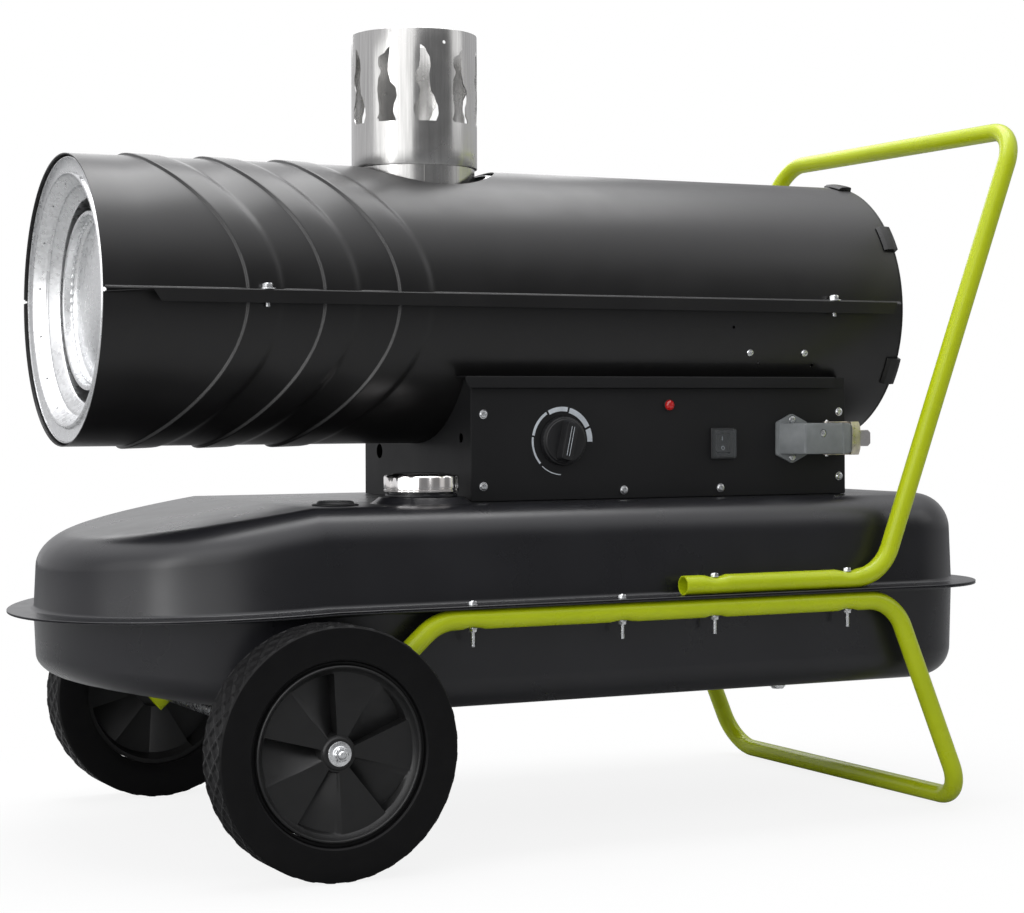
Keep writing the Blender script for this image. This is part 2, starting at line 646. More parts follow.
def make_flue():
    def collar(turn):
        step = 0.9 * (1 - min((turn - LAP_TURN) % 360, 60) / 60)
        inner, outer = (BARREL_Z + sqrt(97.0 ** 2 - (radius * sin(radians(turn))) ** 2) + 0.6
                        for radius in (68.0, 69.0))
        return [(inner, 68.0), (outer, 69 + step * 0.7), (752, 69 + step * 0.7), (757, 69.3 + step * 0.6),
                (762, 70.1 + step * 0.4), (767, 70.6), (774.4, 70.7), (775, 70.4), (775, 70.0), (774.4, 69.7),
                (766, 69.6), (760, 68.9), (752, 68.0)]
    turns = [LAP_TURN + 0.01] + [LAP_TURN + 359.9 * k / 180 for k in range(1, 181)]
    Shape().turned(collar, "Z", STACK, turns=turns).add("collar_sheet", STAINLESS, "flue_collar", angle=40)

    outer, inner = 72.0, 71.0
    profile = ((742.1, inner), (741.6, inner + 0.2), (741.5, outer - 0.25), (742.2, outer), (760, outer), (800, outer),
               (850, outer), (892.8, outer), (893.8, outer - 0.25), (894, inner + 0.5), (893.6, inner),
               (850, inner), (800, inner), (760, inner))
    sleeve = Shape().turned(profile, "Z", STACK, 200).add("sleeve_sheet", STAINLESS, "chimney_sleeve", angle=38)
    holes = Shape()
    for number in range(10):
        right, left = [], []
        for step in range(41):
            one, two = slot_edges(HOOKED if number % 2 else WIDE_FOOT, step / 40)
            z = SLOT_LOW + step / 40 * (SLOT_HIGH - SLOT_LOW)
            right.append((max(one, two + 1.0), z))
            left.append((two, z))
        holes.loft(through_sleeve(radians(36 * number - 13.3), right + left[::-1]))
    holes.loft(through_sleeve(radians(4.1), arc((0, 879), 2, 0, 330, 11)))
    holes.carve(sleeve)
    soften(sleeve, 0.3)


# ---- tank

TANK_FRONT = -465.5
TANK_REAR = 655.0
TANK_HALF = 262.0
TANK_SEAM = 260.5
TANK_TOP = 365.0
TANK_LOW = 150.0
FLANGE = 29.0
UPPER_EDGE = 42.0
LOWER_EDGE = 35.0
RAMP_START = -201.5
FILLER = (-53, -135, 0)
GAUGE = (-158, -146, 0)
SUCTION = (90, 100, 0)
DRAIN = (377, -176, 0)


def tank_outline(inset):
    """The near half of the tank's plan, from the nose to the rear."""
    half = TANK_HALF - inset
    corner = 120.0 - min(inset, 120.0 - UPPER_EDGE / 2)
    points = arc((TANK_FRONT + TANK_HALF, 0), half, 180, 90, 44)
    points += [(x, -half) for x in (RAMP_START, -100, 0, 100, 200, 300, 400)]
    return points + arc((TANK_REAR - inset - corner, -(half - corner)), corner, 270, 90, 22)


def tank_height(x, z):
    """Both halves slope toward a thinner nose that hangs a little lower."""
    along = max(0.0, (RAMP_START - x) / (RAMP_START - TANK_FRONT - FLANGE))
    above = max(0.0, (z - TANK_SEAM) / (TANK_TOP - TANK_SEAM))
    below = max(0.0, (TANK_SEAM - z) / (TANK_SEAM - TANK_LOW))
    return z - along * (10.0 + 27.0 * above - 42.0 * below)


def quarter(steps):
    """(1 - cos, sin) of the turns from 0 to 90 degrees."""
    return [(1 - cos(radians(90 * step / steps)), sin(radians(90 * step / steps))) for step in range(steps + 1)]


def tank_half(sign, top):
    shape = Shape()
    base = TANK_SEAM + sign * 0.15
    outer = base + sign * 1.8
    fillet = 5.0
    edge = UPPER_EDGE if sign > 0 else LOWER_EDGE
    thin = edge - 1.8
    levels = [(0.5, base), (0.0, base + sign * 0.5), (0.0, outer - sign * 0.5), (0.5, outer)]
    levels += [(FLANGE - fillet + fillet * s, outer + sign * fillet * c) for c, s in quarter(4)]
    levels += [(FLANGE + 2 + edge * c, top - sign * edge * (1 - s)) for c, s in quarter(12)]
    inner = [(FLANGE + 1.8, base), (FLANGE + 1.8, base + sign * 8)]
    inner += [(FLANGE + 3.8 + thin * c, top - sign * 1.8 - sign * thin * (1 - s)) for c, s in quarter(6)]
    rings = []
    for inset, z in levels + inner[::-1]:
        near = tank_outline(inset)
        far = [(x, -y) for x, y in reversed(near[1:])]
        rings.append([shape.bm.verts.new((x, y, tank_height(x, z))) for x, y in near + far])
    # the skin starts behind the outer crown and ends at it, so both crowns stay open for their strips
    shape.skin(rings[len(levels):] + rings[:len(levels)], ends=False)
    for ring in (rings[len(levels) - 1], rings[len(levels)]):
        shape.bm.faces.new((ring[0], ring[1], ring[-1]))
        for step in range(1, len(ring) // 2):
            shape.bm.faces.new((ring[step], ring[step + 1], ring[-step - 1], ring[-step]))
    return shape


def make_tank():
    upper = tank_half(1, TANK_TOP).add("tank_top_pressing", TANK_PAINT, "tank_upper", angle=40)
    holes = Shape().rod("Z", FILLER, 340, 380, 35.3, 64).rod("Z", GAUGE, 340, 380, 17.6, 40)
    holes.rod("Z", SUCTION, 340, 380, 9.6, 32).carve(upper)
    lower = tank_half(-1, TANK_LOW).add("tank_bottom_pressing", TANK_PAINT, "tank_lower", angle=40)
    Shape().rod("Z", DRAIN, 140, 160, 6.4, 32).carve(lower)
    boss = rounded(((363.2, 35.3), (363.2, 57.5), (364.6, 57.5), (365.4, 54.2), (371.4, 46.4), (372, 45.6),
                    (372, 35.3)), (0, 0, 0.8, 1.2, 0.7, 0.7, 0.3))
    Shape().turned(boss, "Z", FILLER, 96).add("filler_boss", TANK_PAINT, "tank_upper")
    plug = rounded(((144, 0), (144, 4), (146, 4), (146, 8.9), (149.7, 9.0), (149.7, 6), (157.7, 6), (157.7, 0)), 0.4, 2)
    plug = Shape().turned(plug, "Z", DRAIN, 48).hex_head("Z", DRAIN, 146, -1, 7.0, 2.0)
    plug.add("drain_plug_head", BOLT_ZINC, "drain_plug")


def make_filler():
    profile = [(343, 33), (343, 35), (372.3, 35), (372.3, 38.6), (372.8, 39), (374.8, 39), (375.3, 38.6), (375.3, 35)]
    for z in (377.5, 381.5, 385.5):
        profile += [(z, 35), (z + 0.8, 36.0), (z + 1.6, 36.0), (z + 2.4, 35)]
    profile += [(390.2, 35), (391, 34.4), (391, 33.5), (390.5, 33)]
    Shape().turned(profile, "Z", FILLER, 96).add("filler_neck_tube", TANK_PAINT, "filler_neck")
    gasket = rounded(((391.3, 24), (391.3, 34.7), (393.3, 34.7), (393.3, 24)), 0.5)
    Shape().turned(gasket, "Z", FILLER, 72).add("cap_gasket_ring", SEAL, "cap_gasket", "cap_seal", angle=40)

    def lobed(turn):
        outer = 41 - 1.7 * (0.5 - 0.5 * cos(radians(turn * 12))) ** 1.5
        return [(393.6, 0), (393.6, 37), (377.6, 37.2), (377.6, outer - 0.5), (378.2, outer), (379.6, outer),
                (380.2, outer - 0.7), (381.0, outer - 0.7), (381.6, outer), (392.8, outer), (394.4, outer - 0.5),
                (395.4, outer - 1.6), (395.8, outer - 3.2), (396.3, 33.4), (396.9, 32.6), (397.2, 31.6),
                (397.2, 30.6), (396.7, 29.6), (396.6, 27), (397.1, 17), (397.4, 8), (397.5, 0)]
    Shape().turned(lobed, "Z", FILLER, 288).add("fuel_cap_shell", CHROME, "fuel_cap", "cap", angle=38)


def make_gauge():
    case = rounded(((301.3, 0), (301.3, 17), (365.3, 17), (365.3, 25), (366.3, 25), (366.7, 23.4), (366.9, 20.4),
                    (369.0, 19.2), (370.0, 17.2), (370.1, 15.8), (369.0, 15.2), (366.9, 15), (366.9, 1.6),
                    (370.0, 1.5), (370.0, 0)), (0, 0.5, 0, 0.3, 0.3, 0.8, 0.8, 1.2, 0.8, 0.5, 0.3, 0.3, 0, 0.3, 0))
    Shape().turned(case, "Z", GAUGE, 96).add("gauge_case", DARK_PLASTIC, "fuel_gauge", angle=34)
    window = ((369.3, 2.2), (369.3, 15.1), (369.9, 15.1), (370.2, 9), (370.3, 2.2))
    Shape().turned(window, "Z", GAUGE, 64).add("gauge_window", CLEAR, "fuel_gauge", angle=34)
    marks = Shape()
    for turn in range(150, 241, 15):
        size = 1.6 if turn % 30 == 0 else 1.0
        out = Vector((cos(radians(turn)), sin(radians(turn)), 0))
        across = Vector((-out.y, out.x, 0))
        marks.loft([[Vector(GAUGE) + out * r + across * w + Vector((0, 0, z))
                     for r, w in ((11.2, -size / 3), (14.4, -size / 2), (14.4, size / 2), (11.2, size / 3))]
                    for z in (366.85, 367.15)])
    marks.add("gauge_marks", WHITE_INK, "fuel_gauge")
    pointer = Shape().turned(rounded(((367.3, 1.8), (367.3, 3.2), (368.5, 3.2), (368.5, 1.8)), 0.2), "Z", GAUGE, 32)
    pointer.prism(((-160.4, -147.2), (-172.8, -146.4), (-173.0, -146.0), (-172.8, -145.6), (-160.4, -144.8)),
                  367.5, 368.3, "xy")
    pointer.add("gauge_pointer", RED_LENS, "gauge_needle", "needle")


# ---- frames

FOOT_BOLTS = (-46, 132)
HANDLE_BOLTS = (248, 423)
BEND_R = 44
CORNER_R = 52


def mirrored(near):
    """A path and its mirror image on the far side."""
    return near + [(x, -y, z) for x, y, z in reversed(near)]


def denser(points, level):
    """Adds points where a path runs straight at this level, so that bolts can squeeze the tube there."""
    full = []
    for here, there in zip(points, points[1:]):
        parts = int((there - here).length / 7) if abs(here.z - level) <= 0.5 else 0
        full += [here.lerp(there, k / (parts + 1)) if k else here for k in range(parts + 1)]
    return full + [points[-1]]


def squeezed(point, level, depth, bolts):
    """How far the nearest bolt squeezes a rail at this level."""
    if abs(point.z - level) >= 0.5:
        return 0.0
    return depth * clamped((14.0 - min(abs(point.x - bolt) for bolt in bolts)) / 8.0)


def make_foot_frame():
    end = Vector(WHEEL) - Vector((134, 0, LOW_RAIL - 127)).normalized() * 17
    corners = mirrored([(end.x, -SIDE_Y, end.z), (-86, -SIDE_Y, LOW_RAIL), (486, -SIDE_Y, LOW_RAIL),
                        (583.5, -SIDE_Y, 11.53)])
    points = rounded_path(corners, (CORNER_R, CORNER_R, BEND_R, BEND_R, CORNER_R, CORNER_R))
    starts = [points[0].lerp(points[1], k / 12) for k in range(12)]
    ends = [points[-2].lerp(points[-1], k / 12) for k in range(1, 13)]
    points = denser(starts + points[1:-1] + ends, LOW_RAIL)
    tips = (points[0], points[-1])

    def size(point):
        flat = eased(clamped((51 - min((point - tip).length for tip in tips)) / 17.0))
        squeeze = squeezed(point, LOW_RAIL, 1.0, FOOT_BOLTS + HANDLE_BOLTS)
        return TUBE_R * (1 - 0.49 * flat), TUBE_R * (1 + 0.19 * flat) - squeeze, squeeze
    foot = Shape().tube(points, size).add("foot_frame_tube", GREEN, "foot_frame", angle=40)
    Shape().rod("Y", WHEEL, -262, 262, 8.3, 40).carve(foot)


def make_handle_frame():
    corners = mirrored([(208, -SIDE_Y, HIGH_RAIL), (469, -SIDE_Y, HIGH_RAIL), (666, -SIDE_Y, 795)])
    points = denser(rounded_path(corners, (CORNER_R, BEND_R, BEND_R, CORNER_R)), HIGH_RAIL)

    def size(point):
        squeeze = squeezed(point, HIGH_RAIL, 1.28, HANDLE_BOLTS)
        return TUBE_R, TUBE_R - squeeze, -squeeze
    Shape().tube(points, size).add("handle_frame_tube", GREEN, "handle_frame", angle=40)


def make_frame_bolts():
    nut = LOW_RAIL - TUBE_R + 1.9
    for side, place in SIDES:
        for number, x in enumerate(FOOT_BOLTS + HANDLE_BOLTS, 1):
            centre = (x, side * SIDE_Y, 0)
            seat = HIGH_RAIL + TUBE_R - 2.5 if x in HANDLE_BOLTS else TANK_SEAM + 1.95 + 0.1
            washer = rounded(((seat, 0), (seat, 5.2), (seat + 0.7, 5.2), (seat + 0.7, 0)), 0.25, 2)
            bolt = Shape().turned(washer, "Z", centre, 40).hex_head("Z", centre, seat + 0.7, 1, 4.0, 3.4)
            bolt.hex_head("Z", centre, nut, -1, 4.0, 4.4, 5.0).thread("Z", centre, 218.8, seat, 2.45, 0.8)
            bolt.add(f"frame_bolt_{place}_{number}_zinc", BOLT_ZINC, f"frame_bolt_{place}_{number}")


# ---- wheels

def make_wheels():
    seat = 308.3
    profile = rounded(((284, 0), (284, 4), (seat, 4), (seat, 12.4), (seat + 2, 12.4), (seat + 2, 4),
                       (seat + 2.2, 0)), (0, 0.3, 0, 0.4, 0.4, 0, 0))
    for side, place in SIDES:
        make_tyre(side, place)
        make_rim(side, place)
        bolt = Shape().turned([(side * along, radius) for along, radius in profile], "Y", WHEEL, 48)
        bolt.hex_head("Y", WHEEL, side * (seat + 2), side, 6.5, 5.5, 8.2)
        bolt.thread("Y", WHEEL, side * (seat + 2), side * 318.6, 3.9, 1.2)
        bolt.add(f"hub_bolt_{place}_zinc", BOLT_ZINC, f"hub_bolt_{place}")
    ends = [(-283.6, 0), (-283.6, 4.3), (-307.4, 4.3), (-308, 4.8), (-308, 7.4), (-307.4, 8)]
    axle = ends + [(-along, radius) for along, radius in reversed(ends)]
    Shape().turned(axle, "Y", WHEEL, 48).add("axle_bar", BOLT_ZINC, "axle")


def make_tyre(side, place):
    """A tyre whose tread has two crossing rows of grooves, 36 round the wheel."""
    low = 270.0
    rows = [(274, 88.6), (272.2, 92), (270.8, 100), (270.2, 108), (270, 116), (270, 122.6), (270.3, 124.8),
            (271.2, 126.2)]
    rows += [(272.0 + 41.0 * k / 30, None) for k in range(31)]
    rows += [(313.8, 126.2), (314.7, 124.8), (315, 122.6), (315, 116), (314.9, 108),
             (314.5, 100), (313.6, 94.4), (312.4, 92.6), (311, 92), (309.6, 91), (309.2, 88.6)]

    def profile(turn):
        points = []
        for y, radius in rows:
            if radius is None:
                one = (turn / 10 + (y - low) / 22.5) % 1
                two = (turn / 10 - (y - low) / 22.5) % 1
                ridge = min(abs(one - 0.5), abs(two - 0.5))
                radius = 127.0 - 1.7 * clamped((ridge - 0.10) / 0.07)
            points.append((side * (315 - (315 - y) * 52 / 45), radius))
        return points
    tyre = Shape().turned(profile, "Y", WHEEL, 432)
    tyre.add(f"tyre_{place}_rubber", RUBBER, f"tyre_{place}", f"wheel_{place}", angle=26)


def make_rim(side, place):
    """Ten sectors: raised flats and pockets whose floors climb back to the next flat."""
    face = 313.0
    raised = 305.4
    sections = []
    for number in range(10):
        for share in [0.0, 0.03, 0.06] + [0.06 + 0.88 * k / 14 for k in range(1, 15)] + [0.97]:
            level = 0.0
            if number % 2 and share >= 0.03:
                level = 13.0 * (1 - clamped((share - 0.03) / 0.97)) ** 0.9
            web = raised - level
            soft = raised - min(level, 1.2)
            radial = [(308.0, 8.4), (308.0, 14.8), (307.6, 15.6), (raised + 0.4, 17.0), (raised, 18.2),
                      (soft, 18.8), (web, 19.6 + level * 0.08), (web, 40), (web, 60), (web, 78.4 - level * 0.10),
                      (soft, 79.4), (raised, 80.4), (raised + 2.2, 82.6), (face - 2.0, 84.4), (face - 0.8, 85.0),
                      (face - 0.3, 85.6), (face - 0.3, 86.6), (face - 1.0, 87.5), (face - 2.6, 88.0), (274, 88.0),
                      (274, 83), (web - 6.5, 78), (web - 6.5, 22), (255.7, 17), (255.7, 8.4)]
            turn = radians((number + share) * 36.0 - 15.0)
            if side > 0:
                turn = pi - turn
            sections.append([on_axis("Y", WHEEL, side * along, radius, turn) for along, radius in radial])
    rim = Shape().loft(sections, loop=True)
    rim.add(f"rim_{place}_web", RIM_PLASTIC, f"rim_{place}", f"wheel_{place}", angle=28)


# ---- control box and panel

BOX_END = 489.5
SADDLE_R = 157.3
BOX_HALF = 148.5
HOOD_TOP = 503.0
PANEL_SCREWS = ((14.5, 461), (14.5, 382), (190, 375), (317, 375), (480.5, 386), (480.5, 462))
PANEL_Y = -150.0
KNOB = (112, 0, 431)
LAMP = (249, 0, 470.5)
SWITCH = (319.5, 426)


def carve_saddle(made):
    """Cuts the barrel's round out of a piece of the box."""
    Shape().rod("X", BARREL, -30, 520, SADDLE_R, 192).carve(made)


def make_box():
    box = Shape().block((0, -BOX_HALF, 365.3), (BOX_END, BOX_HALF, 502.2))
    box = box.add("control_box_case", BOX_PAINT, "control_box")
    inside = Shape().block((1.5, -BOX_HALF + 1.5, 366.8), (488, BOX_HALF - 1.5, 560))
    inside.block((12, -BOX_HALF - 3, 378), (477.5, -BOX_HALF + 3, 478)).carve(box)
    carve_saddle(box)
    holes = Shape().rod("X", (0, 105, 417), -5, 6, 8.6, 48).rod("X", (0, -123, 435), -5, 6, 5.4, 48)
    holes.rod("Z", SUCTION, 360, 372, 9.6, 32).carve(box)
    soften(box, 0.7)
    section = rounded(((126, HOOD_TOP - 1.5), (126, HOOD_TOP), (158, HOOD_TOP), (158, 490), (156.5, 490),
                       (156.5, HOOD_TOP - 1.5)), (0, 0, 1.6, 0.3, 0.3, 0.6), 4)
    for side, place in SIDES:
        hood = Shape().loft([[(x, side * y, HOOD_TOP - (HOOD_TOP - z) * (share if z < 501 else 1)) for y, z in section]
                             for x, share in ((-10.0, 0.16), (-9.2, 0.55), (-6.5, 0.9), (-4, 1.0), (470, 1.0))])
        hood = hood.add(f"hood_{place}", BOX_PAINT, "control_box")
        carve_saddle(hood)
        soften(hood, 0.25)


def make_panel():
    panel = Shape().block((0, PANEL_Y, 366), (BOX_END, PANEL_Y + SHEET, 489.5))
    panel = panel.add("control_panel_sheet", BOX_PAINT, "control_panel")
    holes = Shape().rod("Y", KNOB, -156, -140, 5.3, 32).rod("Y", LAMP, -156, -140, 5.3, 32)
    holes.block((308.2, -156, 412.2), (330.8, -140, 439.8)).carve(panel)
    soften(panel, 0.45)
    washer = rounded(((PANEL_Y, 0), (PANEL_Y, 5.0), (-150.7, 5.0), (-150.7, 0)), 0.25, 2)
    for index, (x, z) in enumerate(PANEL_SCREWS):
        screw = Shape().turned(washer, "Y", (x, 0, z), 40)
        screw.screw_head("Y", (x, 0, z), -150.7, -1, 4.1, 2.3, 20 + 31 * index)
        screw.add(f"panel_screw_{index + 1}", BOLT_ZINC)
    scale = Shape()
    for start, end, width in ((228, 267, 1.0), (173, 222, 2.2), (122, 170, 3.0), (79, 118, 5.0), (26, 75, 6.0),
                              (-2, 22, 6.5)):
        outer = arc(KNOB[::2], 38, start, end - start, 24)
        inner = arc(KNOB[::2], 38 - width, end, start - end, 24)
        scale.prism(outer + inner, -150.14, -149.9, "xz")
    scale.add("thermostat_scale", WHITE_INK, slot="barrel_black")


def make_knob():
    def skirt(turn):
        rib = 0.35 * (0.5 - 0.5 * cos(radians(turn * 40)))
        return [(-156.9, 3.3), (-150.6, 3.3), (-150.6, 27.2), (-151.0, 27.6), (-155.8, 27.0 - rib), (-156.6, 26.4),
                (-157.2, 25.1), (-158.6, 24.4), (-159.2, 23.6), (-159.5, 22), (-159.6, 8), (-159.6, 0), (-156.9, 0)]
    Shape().turned(skirt, "Y", KNOB, 240).add("knob_skirt", KNOB_PLASTIC, "thermostat_knob", "knob", angle=26)

    def tilted(y, outline, tilt=radians(12)):
        return [(KNOB[0] + a * cos(tilt) + b * sin(tilt), y, KNOB[2] - a * sin(tilt) + b * cos(tilt))
                for a, b in outline]
    grip = Shape().loft([tilted(y, rectangle((0, 0), half, reach, half * 0.55))
                         for y, half, reach in ((-159.0, 8.4, 23.2), (-160.2, 8.0, 23.0), (-165, 7.4, 22.2),
                                                (-169.4, 6.8, 21.2), (-170.3, 6.3, 20.7), (-170.6, 5.4, 19.9))])
    grip.add("knob_grip", KNOB_PLASTIC, "thermostat_knob", "knob", angle=34)
    lines = Shape()
    for middle in (-1.6, 1.6):
        outline = ((middle - 0.25, -16.5), (middle + 0.25, -16.5), (middle + 0.25, 16.5), (middle - 0.25, 16.5))
        lines.loft([tilted(y, outline) for y in (-170.45, -170.75)])
    lines.add("knob_lines", WHITE_INK, "thermostat_knob", "knob")


def make_switch():
    bezel = ((-141.3, 9.4, 11.9, 1.0), (-151.9, 9.4, 11.9, 1.0), (-152.3, 9.8, 12.3, 1.0), (-152.3, 14.6, 17.1, 2.2),
             (-152.2, 15.0, 17.5, 2.2), (-151.6, 15.5, 18.0, 2.2), (-150.3, 15.5, 18.0, 2.2), (-150.3, 11, 13.5, 1.0),
             (-128.3, 11, 13.5, 1.0))
    Shape().loft(rectangles(SWITCH, bezel)).add("switch_bezel", DARK_PLASTIC, "switch_frame")

    def tipped(y, z, tilt=-radians(8)):
        """A point of the rocker, about its pivot at rest."""
        return -147.8 + y * cos(tilt) - z * sin(tilt), SWITCH[1] + y * sin(tilt) + z * cos(tilt)
    outline = ((-2.2, -10.6), (-2.9, -9.9), (-1.6, -4), (-1.35, 0), (-1.6, 4), (-2.9, 9.9), (-2.2, 10.6),
               (2.5, 10.6), (4, 5.3), (4, -5.3), (2.5, -10.6))
    key = Shape().prism([tipped(y - 1.4, z) for y, z in outline], SWITCH[0] - 8.6, SWITCH[0] + 8.6, "yz")
    key.add("rocker_key", DARK_PLASTIC, "switch_rocker", "rocker", angle=24, bevel=0.4)

    def mark(ring, lift, z):
        """A ring of a mark at its height above the face of the rocker."""
        return [(SWITCH[0] + a, *tipped(-3.65 - lift, z + b)) for a, b in ring]
    bar = ((-0.4, -2.4), (0.4, -2.4), (0.4, 2.4), (-0.4, 2.4))
    outer = [(2.3 * cos(t * pi / 12), 2.3 * sin(t * pi / 12)) for t in range(24)]
    inner = [(a * 0.68, b * 0.68) for a, b in outer]
    marks = Shape().loft([mark(bar, lift, 5.6) for lift in (-0.8, 0.25)])
    marks.loft([mark(ring, lift, -5.6) for ring, lift in ((outer, -0.8), (outer, 0.25), (inner, 0.25), (inner, -0.8))],
               loop=True)
    marks.add("rocker_marks", WHITE_INK, "switch_rocker", "rocker")
    levels = ((-152.6, 14.7, 17.2, 2.4), (-158.6, 14.4, 16.9, 2.4), (-159.7, 13.6, 16.1, 2.4),
              (-160.1, 12.2, 14.7, 2.0), (-159.3, 12.2, 14.7, 2.0), (-158.9, 13.0, 15.5, 2.2),
              (-158.2, 13.6, 16.1, 1.9), (-152.6, 13.9, 16.4, 1.9))
    film = Shape().loft(rectangles(SWITCH, levels), loop=True)
    # the two middle levels close the film's face from outside and inside, and lose the faces between them
    for level in rectangles(SWITCH, levels[3:5]):
        film.bm.faces.new([film.bm.verts.new(point) for point in level])
    bmesh.ops.remove_doubles(film.bm, verts=film.bm.verts, dist=0.001)
    between = [face for face in film.bm.faces if len(face.verts) == 4
               and all(abs(v.co.y + 159.7) < 0.5 and abs(v.co.x - SWITCH[0]) < 12.3 for v in face.verts)
               and len({round(v.co.y, 2) for v in face.verts}) > 1]
    bmesh.ops.delete(film.bm, geom=between, context="FACES_ONLY")
    film.add("switch_cover_film", CLEAR, "switch_cover", angle=34)


def make_lamp():
    bezel = ((-134.3, 0), (-134.3, 5), (-150.3, 5), (-150.3, 6.6), (-151.0, 6.6), (-151.4, 6.2), (-151.4, 0))
    Shape().turned(bezel, "Y", LAMP, 48).add("lamp_bezel", DARK_PLASTIC, "indicator_lamp", slot="red_plastic")

    def facet(turn):
        return [(-151.3, 0), (-151.3, 5.9), (-152.4, 5.9), (-153.8, 5.0 + 0.3 * cos(radians(turn * 8))),
                (-154.9, 3.4), (-155.3, 1.6), (-155.3, 0)]
    Shape().turned(facet, "Y", LAMP, 16).add("lamp_lens", RED_LENS, "indicator_lamp", angle=10)


def make_connector():
    cx, cz = 413, 431
    px, py = 452.0, -166.8  # the lever's pivot
    seat, front, inner = -150.3, -184.8, -157.3
    socket_screw = (436, 0, 437)
    outline = rounded(((cx - 21, cz - 19), (cx, cz - 29), (cx + 21, cz - 19), (cx + 21, cz + 19), (cx, cz + 29),
                       (cx - 21, cz + 19)), (3, 5, 3, 3, 5, 3), 5)
    plate = Shape().loft([[(cx + (x - cx) * share, y, cz + (z - cz) * share) for x, z in outline]
                          for y, share in ((seat, 1.0), (seat - 3.2, 1.0), (seat - 3.8, 0.985), (seat - 4.0, 0.96))])
    plate = plate.add("connector_flange", GREY_PLASTIC, "connector_housing")
    holes = Shape()
    for z in (cz - 22, cz + 22):
        holes.turned(((-160, 0), (-160, 4.9), (-152.6, 4.9), (-152.6, 2.2), (-148, 2.2), (-148, 0)), "Y",
                     (cx, 0, z), 32)
    holes.carve(plate)
    plan = rounded(((394, seat - 2), (411, front), (473, front), (473, inner), (433.7, inner), (433.7, seat - 2)),
                   (0, 4.5, 1.2, 1.0, 1.5, 0), 5)
    housing = Shape().loft([[(x + (shrink if x < 420 else -shrink if x > 460 else 0), y + (shrink if y < -170 else 0),
                              cz + z) for x, y in plan]
                            for z, shrink in ((-18, 1.6), (-17.5, 0.6), (-16.4, 0), (16.4, 0), (17.5, 0.6), (18, 1.6))])
    housing = housing.add("connector_body", GREY_PLASTIC, "connector_housing", angle=34)
    socket = Shape().block((457, -181.8, 416), (480, -160.3, 446))
    socket.rod("Y", socket_screw, -190, -182.6, 4.6, 36).carve(housing)
    soften(housing, 0.35)
    rim = Shape().block((462.5, front - 0.7, cz - 18.3), (465.3, inner, cz + 18.3))
    rim.add("connector_rim", GREY_PLASTIC, "connector_housing", bevel=0.4)
    screws = Shape().screw_head("Y", socket_screw, -182.6, -1, 4.2, 1.8, 30)
    for sign in (-1, 1):
        screws.screw_head("Y", (cx, 0, cz + sign * 22), -152.6, -1, 4.4, 2.6, 20 + 50 * sign)
        z = cz + sign * 18.0
        screws.turned(((z, 0), (z, 2), (z + sign * 2.9, 2), (z + sign * 3.4, 1.5), (z + sign * 3.4, 0)), "Z",
                      (px, py, 0), 24)
    screws.add("connector_screws", BOLT_ZINC)

    plan = rounded(((473.3, -183.3), (475.6, -183.3), (477.4, -181.5), (477.4, -160.6), (475.6, -158.8),
                    (473.3, -158.8)), (0.6, 0.8, 0.8, 0.8, 0.8, 0.6), 3)
    plug = Shape().loft([[(480 + (x - 480) * share, -171 + (y + 171) * share, cz + z) for x, y in plan]
                         for z, share in ((-16.5, 0.93), (-15.7, 0.985), (-14.5, 1.0), (14.5, 1.0), (15.7, 0.985),
                                          (16.5, 0.93))])
    plug.block((457.3, -181.4, 416.4), (474, -160.7, 445.6))
    plug.add("connector_plug", GREY_PLASTIC, "connector_cap", slot="black_plastic")

    lever = Shape()
    arm = arc((px, py), 4.2, 35, 290, 20) + [(478.4, py - 2.5), (480.2, py - 2.2), (480.2, py + 2.2), (478.4, py + 2.5)]
    for low, high in ((cz - 19.5, cz - 18.35), (cz + 18.35, cz + 19.5)):
        lever.prism(arm, low, high, "xy")
    tall = 19.4
    lever.loft([[(478.2 + pull * 0.3, py - wide, cz + z), (489.6 - pull, py - wide, cz + z),
                 (489.6 - pull, py + wide, cz + z), (478.2 + pull * 0.3, py + wide, cz + z)]
                for z, wide, pull in ((-tall, 12.0, 0.9), (-tall + 0.8, 12.0, 0.0), (-12, 15.0, 0.0), (12, 15.0, 0.0),
                                      (tall - 0.8, 12.0, 0.0), (tall, 12.0, 0.9))])
    lever = lever.add("lever_steel", WARM_STEEL, "connector_lever", "lever")
    Shape().rod("Z", (px, py, 0), 405, 457, 2.3, 28).carve(lever)
    soften(lever, 0.3)
    tab = rounded(((489.0, -9.6), (505.0, -9.6), (508.4, -6.4), (508.4, 6.4), (505.0, 9.6), (489.0, 9.6)),
                  (0, 1.2, 1.4, 1.4, 1.2, 0), 4)
    tab = Shape().loft([[(x, y, cz + z) for x, z in tab] for y in (-175.2, -173.5)])
    tab.add("lever_tab", CHROME, "connector_lever", "lever", "zinc", bevel=0.5)
    stub = Shape().block((489.0, -176.4, cz - 6.2), (494.0, -172.4, cz + 6.2))
    stub.add("lever_stub", GREY_PLASTIC, "connector_lever", "lever", "zinc", bevel=0.8)


# ---- intake end

GUARD_RINGS = (54.5, 81.0, 107.5)
CLIP_TURNS = (28, 101, 147.6, 208, 259, 332)


def guard_x(radius, lift=0.0):
    """X of the guard's dish at this radius."""
    return 566.3 + 12.0 * (1 - (radius / 153.0) ** 2) + lift


